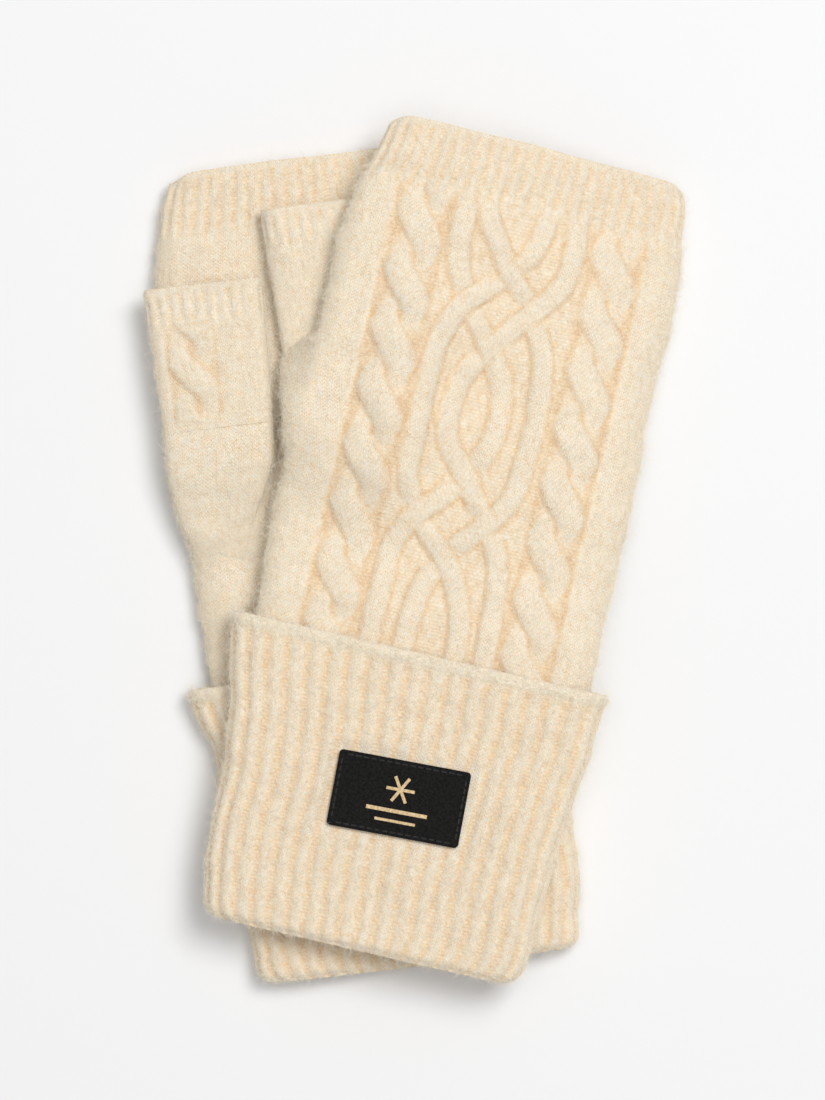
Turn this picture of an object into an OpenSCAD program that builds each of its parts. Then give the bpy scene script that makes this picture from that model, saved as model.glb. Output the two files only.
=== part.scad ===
// Pair of knitted fingerless gloves with long turned-back ribbed cuffs.
// The left glove lies palm up on the table, the right glove lies palm down
// across it. X is across the pair, Y runs from the cuffs to the fingers and
// Z is up. The origin is on the table under the middle of the pair.

/* [Hand tube] */
// Flat thickness of the hand tube of each glove
hand_t = 11; // [10:0.5:12]
// Thickness of the cabled back of the hand
back_ply = 3.0; // [2.2:0.1:3.2]
// Thickness of the plain palm
palm_ply = 2.0; // [1.4:0.1:2.2]
// Distance from the fold of the cuff to the top of the back panel
panel_top = 224; // [222:1:226]
// Distance from the fold of the cuff to the finger opening
glove_len = 241; // [238:1:244]
// How far the rounding of the flattened tube reaches in from its edges
edge_round = 9; // [7:0.5:10]
// Thickness of the wall at the two side edges
edge_ply = 2.0; // [1.5:0.1:2.4]

/* [Cuff] */
// Depth of the turned-back cuff from its fold to its free edge
cuff_len = 88.5; // [86:0.5:89]
// Depth of the light bound-off rim on the cuff
rim_len = 2.6; // [2:0.2:3.2]
// Flat thickness of the folded cuff, four layers of knit and the hollow
cuff_t = 13.6; // [13.2:0.1:13.8]
// Thickness of the turned-back layer
turn_ply = 2.2; // [1.8:0.1:2.4]
// Thickness of the inner layer of the cuff
inner_ply = 2.0; // [1.6:0.1:2.1]
// Clearance between the two layers
layer_gap = 0.3; // [0.3:0.05:0.4]

/* [Thumb] */
// Length of the thumb from its root to its opening
thumb_len = 42.5; // [40:0.5:44]
// Depth of the ribbed band on the thumb
thumb_band_len = 11; // [9:0.5:13]
// Half width of the flat thumb at its root
thumb_hw0 = 16.2; // [15.4:0.1:16.4]
// Half width of the flat thumb at its opening
thumb_hw1 = 17.6; // [16.8:0.1:17.8]
// Flat thickness of the thumb
thumb_t = 7.4; // [7.2:0.1:7.5]
// Thickness of the knit of the thumb
thumb_ply = 1.5; // [1.2:0.1:1.6]
// Lean of the left thumb away from the glove axis
left_lean = 0; // [0:0.5:2]
// Lean of the right thumb away from the glove axis
right_lean = 20.5; // [19:0.5:21]

/* [Label] */
// Width of the label
label_w = 39; // [34:1:40]
// Height of the label
label_h = 22.4; // [18:0.2:23]
// Thickness of the label
label_t = 0.9; // [0.6:0.1:1.2]
// Corner radius of the label
label_r = 1.2; // [0.8:0.1:2.5]

/* [Lie of the pair] */
// Lean of the left glove, turned to the left
left_turn = 6.6; // [6:0.1:7]
// Lean of the right glove, turned to the right
right_turn = 13; // [12.6:0.1:13.4]
// Height of the underside of the right cuff above the table
right_z = 14.0; // [14:0.1:15]
// Drop of the right glove from its cuff to its hand
right_step = 2.2; // [1.8:0.1:2.3]
// Rise of the right glove where it lies over its own thumb
right_rise = 7.5; // [7.4:0.1:8]
// Droop of the right glove where it reaches past the left glove
right_droop = 11.3; // [9:0.1:11.4]

/* [Hidden] */
$fn = 48;
wool = [0.94, 0.88, 0.76];
wool_rib = [0.91, 0.84, 0.71];
wool_rim = [0.96, 0.92, 0.83];

M = 16;                                  // steps across one layer of a tube
og = [[1.5, -122.6], [-16.4, -116.9]];   // fold of each cuff, on the table
tg = [left_turn, -right_turn];
pivot = [[-40.5, 164.5], [-46, 171]];
lean = [left_lean, right_lean];
cuff_inner_h = cuff_t / 2 - turn_ply - layer_gap;   // half thickness of the inner cuff
hole_r = 18;                             // clearance circle round the thumb root

function sm(t) = let (x = max(0, min(1, t))) x * x * (3 - 2 * x);
function mix(a, b, t) = a + (b - a) * t;
function round_off(x) = x >= 1 ? 1 : pow(1 - pow(1 - max(x, 0), 2.2), 1 / 2.2);

// Plan position of a point u across and v along glove g
function plan(g, u, v) = [
    og[g].x + cos(tg[g]) * u - sin(tg[g]) * v,
    og[g].y + sin(tg[g]) * u + cos(tg[g]) * v];
// Distance of a plan point from the axis of the left glove
function left_u(p) = cos(tg[0]) * (p.x - og[0].x) + sin(tg[0]) * (p.y - og[0].y);
// Height of the underside of glove g
function base(g, u, v) = g == 0 ? 0 :
    right_z - right_step * sm((v - 95) / 25)
    + right_rise * sm((v - 118) / 32) * sm((3 - u) / 32)
    - right_droop * sm((left_u(plan(g, u, v)) - 50) / 48) * sm((v - 95) / 20);
function at(g, u, v, w) = let (p = plan(g, u, v)) [p.x, p.y, base(g, u, v) + w];

// Side edges of the hand tube
left_edge = [[88, -51.5], [115, -53], [140, -54], [175, -52.8], [197, -52.5], [212, -51.8],
    [224, -49.8], [232, -47.8], [238, -46.2], [241, -45.2]];
right_edge = [[88, 49], [115, 49], [140, 48.8], [175, 48.3], [197, 48.2], [212, 47.8],
    [224, 46.6], [232, 45.2], [238, 44], [241, 43]];
// Side edges of the turned-back cuff
cuff_left = [[0, -48.1], [15, -49.6], [37, -51], [57, -52.4], [72, -55], [80, -56.9], [88.5, -58.4]];
cuff_right = [[0, 48], [6, 48.6], [40, 49.6], [53, 51.2], [72, 53], [88.5, 54.3]];
// Side edges of the inner cuff
inner_left = [[0, -45.2], [37, -48], [57, -49.4], [92, -51.7]];
inner_right = [[0, 45.1], [40, 46.7], [57, 48.4], [92, 49]];

// Fractions across one layer, closer together at the edges
function across(k, a, b, r) = let (e = [0, 0.05, 0.2, 0.5, 1])
    k <= 4 ? a + e[k] * r : k >= M - 4 ? b - e[M - k] * r :
    mix(a + r, b - r, (k - 4) / (M - 8));
// Section of a flattened tube: point k of 2M, from the left edge over the top
function sec(k, a, b, lo, hi, r) = let (
    kk = (k + 2 * M) % (2 * M),
    up = kk <= M,
    i = up ? kk : 2 * M - kk,
    u = across(i, a, b, r),
    d = min(u - a, b - u),
    w = (hi - lo) / 2 * round_off(d / r))
    [u, (hi + lo) / 2 + (up ? w : -w)];

// Thickness of the lower and upper layer of the hand tube
ply_lo = [back_ply, palm_ply];
ply_hi = [palm_ply, back_ply];
// Hand tube from the cuff to the fingers, s = 0 outside and 1 inside
function hand(g, s, v, k) = let (
    t = sm((v - 92) / 14),
    a = lookup(v, left_edge), b = lookup(v, right_edge),
    lo = mix(cuff_t / 2 - cuff_inner_h, 0, t), hi = mix(cuff_t / 2 + cuff_inner_h, hand_t, t),
    tip = 1.2 * sm((v - 226) / 15),
    tl = mix(inner_ply, ply_lo[g], t), th = mix(inner_ply, ply_hi[g], t),
    p = s == 0 ? sec(k, a, b, lo + tip, hi - tip, edge_round)
        : sec(k, a + edge_ply, b - edge_ply, lo + tl + tip / 2, hi - th - tip / 2, edge_round - 1.6))
    at(g, p[0], v, p[1]);
function inner_cuff_pt(g, s, v, k) = let (
    a = lookup(v, inner_left), b = lookup(v, inner_right), c = cuff_t / 2, h = cuff_inner_h,
    p = s == 0 ? sec(k, a, b, c - h, c + h, 7)
        : sec(k, a + edge_ply, b - edge_ply, c - h + inner_ply, c + h - inner_ply, 5.4))
    at(g, p[0], v, p[1]);
function cuff_pt(g, s, v, lip, k) = let (
    a = lookup(v, cuff_left), b = lookup(v, cuff_right),
    t = lip ? turn_ply + layer_gap + inner_ply : turn_ply,
    p = s == 0 ? sec(k, a, b, 0, cuff_t, edge_round)
        : sec(k, a + t, b - t, t, cuff_t - t, lip ? 5.4 : 7.2))
    at(g, p[0], v, p[1]);
// Thumb: x across, y along from its root
function thumb_pt(g, s, y, k) = let (
    hw = y < 0 ? sqrt(thumb_hw0 * thumb_hw0 - y * y) : mix(thumb_hw0, thumb_hw1, y / thumb_len),
    r = min(6, hw * 0.6),
    z0 = g == 0 ? hand_t + 0.4 : 11.4,
    p = s == 0 ? sec(k, -hw, hw, z0, z0 + thumb_t, r)
        : sec(k, -hw + thumb_ply, hw - thumb_ply, z0 + thumb_ply, z0 + thumb_t - thumb_ply, max(r - 1.2, 1)),
    q = plan(g, pivot[g][0] - sin(lean[g]) * y + cos(lean[g]) * p[0],
                pivot[g][1] + cos(lean[g]) * y + sin(lean[g]) * p[0]))
    [q.x, q.y, p[1]];

// Solid between an outer and an inner grid of points, [station][point]
module wall(O, I, closed = false, flip = false) {
    m = len(O) - 1;
    n = len(O[0]);
    q = closed ? n : n - 1;
    N = (m + 1) * n;
    pts = concat([for (r = O) each r], [for (r = I) each r]);
    f = concat(
        [for (j = [0:m - 1]) for (i = [0:q - 1]) let (a = j * n + i, b = j * n + (i + 1) % n, c = a + n, d = b + n)
            each [[a, c, b], [b, c, d], [N + a, N + b, N + c], [N + b, N + d, N + c]]],
        [for (i = [0:q - 1]) let (a = i, b = (i + 1) % n, c = m * n + a, d = m * n + b)
            each [[a, b, N + b], [a, N + b, N + a], [c, N + d, d], [c, N + c, N + d]]],
        closed ? [] : [for (j = [0:m - 1]) let (a = j * n, c = a + n, b = j * n + n - 1, d = b + n)
            each [[a, N + a, N + c], [a, N + c, c], [b, N + d, N + b], [b, d, N + d]]]);
    polyhedron(pts, flip ? [for (t = f) [t[0], t[2], t[1]]] : f, convexity = 12);
}

panel_v = [92, 96, 99, 102, 106, 112, 118, 124, 130, 137, 144, 150, 156, 163, 170, 178, 187, 197, 205, 212, 218, panel_top];
band_v = [panel_top, 228, 232, 236, 239, glove_len];
module hand_strip(g, k0, k1) wall([for (v = panel_v) [for (k = [k0:k1]) hand(g, 0, v, k)]],
    [for (v = panel_v) [for (k = [k0:k1]) hand(g, 1, v, k)]]);
module finger_band(g) wall([for (v = band_v) [for (k = [0:2 * M - 1]) hand(g, 0, v, k)]],
    [for (v = band_v) [for (k = [0:2 * M - 1]) hand(g, 1, v, k)]], true);
module inner_cuff(g) let (vs = [1.5, 20, 37, 47, 57, 70, 82, 92])
    wall([for (v = vs) [for (k = [0:2 * M - 1]) inner_cuff_pt(g, 0, v, k)]],
        [for (v = vs) [for (k = [0:2 * M - 1]) inner_cuff_pt(g, 1, v, k)]], true);
// Turned-back layer with the lip of its fold closing over the inner cuff
module turnback(g) let (vs = [0, 1.2, 1.21, 6, 15, 37, 46, 57, 65, 72, 80, cuff_len - rim_len])
    wall([for (v = vs) [for (k = [0:2 * M - 1]) cuff_pt(g, 0, v, v < 1.205, k)]],
        [for (v = vs) [for (k = [0:2 * M - 1]) cuff_pt(g, 1, v, v < 1.205, k)]], true);
module bind_off(g) let (vs = [cuff_len - rim_len, cuff_len - rim_len / 2, cuff_len])
    wall([for (v = vs) [for (k = [0:2 * M - 1]) cuff_pt(g, 0, v, false, k)]],
        [for (v = vs) [for (k = [0:2 * M - 1]) cuff_pt(g, 1, v, false, k)]], true);
module thumb_tube(g, ys) wall([for (y = ys) [for (k = [0:2 * M - 1]) thumb_pt(g, 0, y, k)]],
    [for (y = ys) [for (k = [0:2 * M - 1]) thumb_pt(g, 1, y, k)]], true);

// Gusset: a low hood that carries the thumb out of the palm and the side
function gus_l(g, v) = mix(lookup(v, left_edge) - 2.3, g == 0 ? -57 : -59.4, sm((v - 122) / 34));
function gus_r(g, v) = pivot[g][0] - 3 + mix(7, 18, sm((v - 120) / 34));
function gus_pt(g, s, v, i) = let (
    d = thumb_t * sm((v - 118) / 32), t = s * 1.8,
    a = gus_l(g, v) + t, b = gus_r(g, v) - t, h = max(d - t, 0.02),
    lift = g == 0 ? 0.02 : 0.35, H = hand_t + lift,   // stands just clear of the palm
    pu = [a, a, a + 0.8, a + 3.4, mix(a, b, 0.28), mix(a, b, 0.5), mix(a, b, 0.72), b - 3.4, b - 0.8, b],
    pw = [H - 4.2, H - 1.2, H + h * 0.5, H + h * 0.88, H + h, H + h, H + h, H + h * 0.88, H + h * 0.5, H],
    w = pw[i])
    at(g, pu[i], v, g == 0 ? w : hand_t - w);
gus_v = [122, 126, 130, 134, 138, 142, 146, 150, 156, 162];
module gusset(g) difference() {
    wall([for (v = gus_v) [for (i = [0:9]) gus_pt(g, 0, v, i)]],
        [for (v = gus_v) [for (i = [0:9]) gus_pt(g, 1, v, i)]], flip = g == 1);
    translate([plan(g, pivot[g][0], pivot[g][1]).x, plan(g, pivot[g][0], pivot[g][1]).y, -5])
        cylinder(h = 60, r = hole_r);
}
// Opening in the palm under the gusset
module palm_hole(g) let (c = plan(g, pivot[g][0] + 1, 146)) translate([c.x, c.y, g == 0 ? hand_t - 5 : 8])
    rotate([0, 0, tg[g]]) linear_extrude(g == 0 ? 8 : 14) scale([0.62, 1]) circle(r = 12);
module palm(g) difference() {
    hand_strip(g, g == 0 ? 3 : M + 3, g == 0 ? M - 3 : 2 * M - 3);
    palm_hole(g);
}
module back(g) hand_strip(g, g == 0 ? M + 3 : 3, g == 0 ? 2 * M - 3 : M - 3);

// Label frame on the upper face of the right cuff
module on_label(z) let (p = at(1, 1.4, 46.1, cuff_t)) translate([p.x, p.y, p.z + z]) rotate([0, 0, tg[1] + 2.4]) children();
module label_plate() on_label(0.02) linear_extrude(label_t) union() {
    square([label_w - 2 * label_r, label_h], center = true);
    square([label_w, label_h - 2 * label_r], center = true);
    for (x = [-1, 1], y = [-1, 1]) translate([x * (label_w / 2 - label_r), y * (label_h / 2 - label_r)]) circle(r = label_r);
}
// Sewing stitches round the label
module stitch(x, y, a) translate([x, y, 0]) rotate([0, 0, a]) translate([-0.8, -0.25, 0]) cube([1.6, 0.5, 0.2]);
module label_stitches() on_label(0.02 + label_t) {
    nx = 15; ny = 8;
    for (i = [0:nx - 1], s = [-1, 1]) stitch(mix(-label_w / 2 + 3.4, label_w / 2 - 3.4, i / (nx - 1)), s * (label_h / 2 - 1.1), 0);
    for (i = [0:ny - 1], s = [-1, 1]) stitch(s * (label_w / 2 - 1.1), mix(-label_h / 2 + 3.4, label_h / 2 - 3.4, i / (ny - 1)), 90);
}
// Plain woven motif: a six-armed star over two bars
module label_motif() on_label(0.02 + label_t) {
    translate([0, 2.6, 0]) for (a = [0, 60, 120]) rotate([0, 0, a]) translate([-4.2, -0.45, 0]) cube([8.4, 0.9, 0.25]);
    translate([-9, -4.4, 0]) cube([18, 1.1, 0.25]);
    translate([-6, -7.2, 0]) cube([12, 0.8, 0.25]);
}

module left_back_panel() color(wool) back(0);
module left_palm_panel() color(wool) palm(0);
module left_outer_side_seam() color(wool) hand_strip(0, M - 3, M + 3);
module left_thumb_side_seam() color(wool) hand_strip(0, -3, 3);
module left_finger_band() color(wool_rib) finger_band(0);
module left_thumb_gusset() color(wool) gusset(0);
module left_inner_cuff() color(wool_rib) inner_cuff(0);
module left_thumb_sleeve() color(wool) thumb_tube(0, [-13, -10, -6, 0, 8, 16, 24, thumb_len - thumb_band_len]);
module left_thumb_band() color(wool_rib) thumb_tube(0, [thumb_len - thumb_band_len, thumb_len - 6, thumb_len - 2, thumb_len]);
module left_cuff_turnback() color(wool_rib) turnback(0);
module left_cuff_bind_off() color(wool_rim) bind_off(0);
module right_back_panel() color(wool) back(1);
module right_palm_panel() color(wool) palm(1);
module right_outer_side_seam() color(wool) hand_strip(1, M - 3, M + 3);
module right_thumb_side_seam() color(wool) hand_strip(1, -3, 3);
module right_finger_band() color(wool_rib) finger_band(1);
module right_thumb_gusset() color(wool) gusset(1);
module right_inner_cuff() color(wool_rib) inner_cuff(1);
module right_thumb_sleeve() color(wool) thumb_tube(1, [-13, -10, -6, 0, 8, 16, 24, thumb_len - thumb_band_len]);
module right_thumb_band() color(wool_rib) thumb_tube(1, [thumb_len - thumb_band_len, thumb_len - 6, thumb_len - 2, thumb_len]);
module right_cuff_turnback() color(wool_rib) turnback(1);
module right_cuff_bind_off() color(wool_rim) bind_off(1);
module right_label() color([0.06, 0.06, 0.07]) label_plate();
module right_label_stitching() color([0.12, 0.12, 0.13]) label_stitches();
module right_label_emblem() color([0.85, 0.74, 0.48]) label_motif();

left_back_panel();
left_palm_panel();
left_outer_side_seam();
left_thumb_side_seam();
left_finger_band();
left_thumb_gusset();
left_inner_cuff();
left_thumb_sleeve();
left_thumb_band();
left_cuff_turnback();
left_cuff_bind_off();
right_back_panel();
right_palm_panel();
right_outer_side_seam();
right_thumb_side_seam();
right_finger_band();
right_thumb_gusset();
right_inner_cuff();
right_thumb_sleeve();
right_thumb_band();
right_cuff_turnback();
right_cuff_bind_off();
right_label();
right_label_stitching();
right_label_emblem();
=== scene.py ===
"""Looks for the pair of knitted fingerless gloves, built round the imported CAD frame."""
import bpy, math
import numpy as np
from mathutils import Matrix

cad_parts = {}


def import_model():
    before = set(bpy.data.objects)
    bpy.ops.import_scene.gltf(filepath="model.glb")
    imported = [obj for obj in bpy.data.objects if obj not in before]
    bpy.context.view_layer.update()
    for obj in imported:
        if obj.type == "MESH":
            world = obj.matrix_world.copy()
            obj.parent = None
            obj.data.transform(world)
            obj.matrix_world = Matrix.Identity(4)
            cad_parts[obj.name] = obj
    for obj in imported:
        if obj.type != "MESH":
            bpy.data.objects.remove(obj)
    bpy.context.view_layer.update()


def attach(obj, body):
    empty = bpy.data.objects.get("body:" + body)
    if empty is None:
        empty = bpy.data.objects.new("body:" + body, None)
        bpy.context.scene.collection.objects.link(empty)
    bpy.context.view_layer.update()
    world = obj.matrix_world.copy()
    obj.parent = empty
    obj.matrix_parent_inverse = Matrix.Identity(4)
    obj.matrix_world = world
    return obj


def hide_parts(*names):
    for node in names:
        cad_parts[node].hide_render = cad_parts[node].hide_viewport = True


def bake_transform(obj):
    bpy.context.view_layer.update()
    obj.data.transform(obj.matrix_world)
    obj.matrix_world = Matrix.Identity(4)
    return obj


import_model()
D = math.pi / 180

# ------------------------------------------------------------------ lie of the gloves (mm)
OG = [(1.5, -122.6), (-16.4, -116.9)]
TG = [6.6 * D, -13.0 * D]
PIV = [(-40.5, 164.5), (-46.0, 171.0)]
LEAN = [0.0, 20.5 * D]
HAND_T, CUFF_T = 11.0, 13.6
LE = [[88, -51.5], [115, -53], [140, -54], [175, -52.8], [197, -52.5], [212, -51.8], [224, -49.8], [232, -47.8], [238, -46.2], [241, -45.2]]
RE = [[88, 49], [115, 49], [140, 48.8], [175, 48.3], [197, 48.2], [212, 47.8], [224, 46.6], [232, 45.2], [238, 44], [241, 43]]
CL = [[0, -48.1], [15, -49.6], [37, -51], [57, -52.4], [72, -55], [80, -56.9], [88.5, -58.4]]
CR = [[0, 48], [6, 48.6], [40, 49.6], [53, 51.2], [72, 53], [88.5, 54.3]]
IL = [[0, -45.2], [37, -48], [57, -49.4], [92, -51.7]]
IR = [[0, 45.1], [40, 46.7], [57, 48.4], [92, 49]]


def sm(t):
    x = np.clip(t, 0, 1)
    return x * x * (3 - 2 * x)


def tab(T, v):
    """Smooth curve through a table."""
    T = np.array(T, float)
    x, y = T[:, 0], T[:, 1]
    m = np.gradient(y, x)
    v = np.clip(v, x[0], x[-1])
    i = np.clip(np.searchsorted(x, v) - 1, 0, len(x) - 2)
    h = x[i + 1] - x[i]
    t = (v - x[i]) / h
    return ((2 * t**3 - 3 * t**2 + 1) * y[i] + (t**3 - 2 * t**2 + t) * h * m[i]
            + (-2 * t**3 + 3 * t**2) * y[i + 1] + (t**3 - t**2) * h * m[i + 1])


def plan(g, u, v):
    c, s = math.cos(TG[g]), math.sin(TG[g])
    return OG[g][0] + c * u - s * v, OG[g][1] + s * u + c * v


def base(g, u, v):
    if g == 0:
        return 0 * u * v
    x, y = plan(1, u, v)
    lu = math.cos(TG[0]) * (x - OG[0][0]) + math.sin(TG[0]) * (y - OG[0][1])
    return (14.0 - 2.2 * sm((v - 95) / 25) + 7.5 * sm((v - 118) / 32) * sm((3 - u) / 32)
            - 11.3 * sm((lu - 50) / 48) * sm((v - 95) / 20))


# ------------------------------------------------------------------ smooth seeded noise
def waves(seed, n, lo, hi):
    r = np.random.default_rng(seed)
    k = np.exp(r.uniform(np.log(2 * np.pi / hi), np.log(2 * np.pi / lo), n))
    a = r.uniform(0, 2 * np.pi, n)
    p = r.uniform(0, 2 * np.pi, n)
    w = r.uniform(0.6, 1.0, n) / np.sqrt(n) * 1.4

    def f(x, y):
        out = 0.0
        for i in range(n):
            out = out + w[i] * np.sin(k[i] * (math.cos(a[i]) * x + math.sin(a[i]) * y) + p[i])
        return out
    return f


SOFT = [waves(11, 10, 24, 70), waves(12, 10, 24, 70)]      # slow undulation of the cloth
FINE = [waves(21, 14, 5, 14), waves(22, 14, 5, 14)]        # small unevenness of hand-finished knit
EDGE = [waves(31, 6, 18, 60), waves(32, 6, 18, 60)]

# ------------------------------------------------------------------ flattened tube section
_phi = np.linspace(0, math.pi / 2, 200)
_X, _Y = 1 - np.cos(_phi) ** (2 / 2.2), np.sin(_phi) ** (2 / 2.2)


def quarter(r, h):
    L = np.concatenate([[0], np.cumsum(np.hypot(np.diff(_X * r), np.diff(_Y * h)))])
    return L[-1], L / L[-1]


def section(a, b, lo, hi, r, tt, h0=5.5):
    """Points of a flattened tube at loop fractions tt: left edge at 0, over the top, right edge at 0.5."""
    L, tabl = quarter(r, h0)
    a, b, lo, hi = [np.atleast_1d(q)[:, None] for q in (a, b, lo, hi)]
    t = np.mod(tt, 1.0)[None, :]
    f = np.where(t <= 0.5, 2 * t, 2 - 2 * t)
    S = 2 * L + (b - a - 2 * r)
    s = f * S
    s2 = S - s
    near = np.minimum(s, s2)
    e = np.clip(near / L, 0, 1)
    x = np.interp(e, tabl, _X) * r
    y = np.interp(e, tabl, _Y)
    d = np.where(near > L, r + near - L, x)
    u = np.where(s <= s2, a + d, b - d)
    w = (hi + lo) / 2 + np.where(t <= 0.5, 1, -1) * (hi - lo) / 2 * y
    return u, w, S


def frac_at(d, r, S, h0=5.5):
    L, tabl = quarter(r, h0)
    return float(np.interp(d / r, _X, tabl) * L / S / 2)


# ------------------------------------------------------------------ relief of the knit (mm)
def bump(x, k=1.0):
    return np.sqrt(np.clip(1 - x * x, 0, 1)) ** k


def rope(u, v, uc, R, w, P, vm, T=1.5, Z=0.75):
    """Two-strand rope cable; vm is where a strand crosses the middle in front.  Gives height, a mask of painted shade
    for the crease round each leaf, and the position across the strand."""
    hs, rs, xs = [], [], []
    for k in (0, 1):
        th = math.pi * (v - vm) / P + math.pi / 2 + k * math.pi
        xc = uc + R * np.cos(th)
        sl = np.abs(R * np.sin(th) * math.pi / P)
        dd = np.abs(u - xc) / np.sqrt(1 + sl * sl)
        dr = dd / (w * (0.68 + 0.32 * sm(np.sin(th) + 0.12)))
        hs.append(np.where(dr < 1, T * bump(np.clip(dr, 0, 1), 0.85) + Z * (np.sin(th) - 1), -9))
        rs.append(dr + 0 * u); xs.append(u - xc)
    top = hs[1] > hs[0]
    best = np.where(top, hs[1], hs[0])
    gap = np.abs(hs[1] - hs[0])
    d = np.where(top, rs[1], rs[0])
    # cr marks the creases between crossing strands and round each leaf, later painted as shade
    cr = np.maximum(np.exp(-(gap / 0.30) ** 2), np.exp(-((d - 1) * w / 0.9) ** 2))
    return best, cr, np.where(top, xs[1], xs[0])


CORDS = [
    [(246, -17.5), (226, -17.5), (212, -18.2), (202, -16.8), (192.5, -11.5), (185, -6), (179, -1.5), (172, 2.8), (163, 4.9), (153, 4.2), (142.5, -0.2), (134.5, -6.2), (128, -12.2), (120, -16.6), (106, -17.6), (80, -17.6)],
    [(246, -15), (226, -13.5), (216, -10.5), (209, -5.8), (202, -0.3), (196.5, 4.8), (189.5, 9.4), (181, 13.4), (170, 15.2), (150, 15.2), (138, 13.6), (129.3, 8.2), (123.5, 3.2), (117.5, -1.6), (110, -5.4), (100, -7.2), (80, -7.2)],
    [(246, 6), (226, 6), (215, 5.2), (207.5, 2.6), (201.5, -2), (196.5, -7.5), (190.5, -13), (182, -16.8), (170, -17.8), (150, -17.8), (137.5, -16.8), (129, -12.6), (123, -7.2), (117.4, -1.8), (109, 4), (100, 7), (80, 8)],
    [(246, 15), (226, 15), (212, 15.8), (201.5, 13.8), (193.5, 8.2), (187, 3), (180, -2), (173, -6.4), (163, -9), (152, -8), (142.5, -1.2), (135, 4.2), (129, 9), (122, 13), (112, 15.4), (100, 16.2), (80, 16.6)],
]
CROSS = [  # v, cord in front, cord behind
    (202, 1, 2), (192, 2, 0), (193.2, 3, 1), (179.6, 0, 3), (142.5, 3, 0), (128.7, 0, 2), (129.2, 1, 3), (117.5, 2, 1)]


def cables(u, v):
    """Height, and how much of each point is knit rather than purl."""
    h = np.full(u.shape, -0.62)                                 # purl ground
    plain = sm((-38.6 - u) / 1.6) + sm((u - 36.4) / 1.6)        # plain sides
    h = h + plain * 0.55
    knit = plain.copy()
    along, crease_shade = u + 0 * v, 0 * u * v
    for c, pts in enumerate(CORDS):
        P = sorted(pts)
        uc = tab(P, v)
        sl = np.abs((tab(P, v + 0.5) - tab(P, v - 0.5)))
        d = np.abs(u - uc) / np.sqrt(1 + sl * sl)
        z = 0 * v
        for vc, fr, bk in CROSS:
            if c == fr:
                z = z + 0.18 * np.exp(-((v - vc) / 5.0) ** 2)
            if c == bk:
                z = z - 1.15 * np.exp(-((v - vc) / 3.6) ** 2)
        hc = np.where(d < 3.2, 1.15 * bump(np.clip(d / 3.2, 0, 1), 0.8) - 0.55 + z, -9)
        up = hc > h
        knit = np.where(up, 1.0, knit)
        along = np.where(up, u - uc, along)
        # lines along each cord's edge are painted as shade in the crease, except where the cord dips behind
        crease_shade = np.maximum(crease_shade * np.where(up & (d < 2.5), 0.0, 1.0), np.exp(-((d - 3.2) / 0.55) ** 2) * np.where(z < -0.6, 0.0, 1.0))
        h = np.maximum(h, hc)
    for uc, P, vm in ((-30.2, 17.5, 210.0), (28.4, 17.2, 210.0)):
        hr, cr, xr = rope(u, v, uc, 3.7, 5.0, P, vm, T=1.75, Z=0.95)
        hr = hr - 0.72
        inside = np.abs(u - uc) < 8.4
        hr = np.where(inside, np.maximum(hr, -0.62), -9)
        knit = np.where(inside & (hr > -0.5), 1.0, np.where(inside, 0.3, knit))
        along = np.where(inside & (hr > -0.5), xr, along)
        crease_shade = np.where(inside, cr, crease_shade)
        h = np.maximum(h, hr)
    return h, knit, along, crease_shade


def ribs(ph, A, k=2.3, off=0.35):
    c = np.cos(2 * np.pi * ph)
    q = np.tanh(k * (c + off)) / np.tanh(k * (1 + off))
    return A * (0.5 * q - 0.5), sm((c + off + 0.15) / 0.3)


# ------------------------------------------------------------------ mesh making
def normals(P, closed):
    if closed:
        du = np.roll(P, -1, 1) - np.roll(P, 1, 1)
    else:
        du = np.gradient(P, axis=1)
    dv = np.gradient(P, axis=0)
    n = np.cross(du, dv)
    return n / np.maximum(np.linalg.norm(n, axis=-1, keepdims=True), 1e-9)


def blur(h, n, closed):
    for ax in (0, 1):
        for _ in range(n):
            if ax == 1 and closed:
                h = (np.roll(h, 1, 1) + 2 * h + np.roll(h, -1, 1)) / 4
            else:
                p = np.concatenate([np.take(h, [0], ax), h, np.take(h, [-1], ax)], ax)
                a = np.take(p, range(0, p.shape[ax] - 2), ax)
                c = np.take(p, range(2, p.shape[ax]), ax)
                h = (a + 2 * h + c) / 4
    return h


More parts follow.
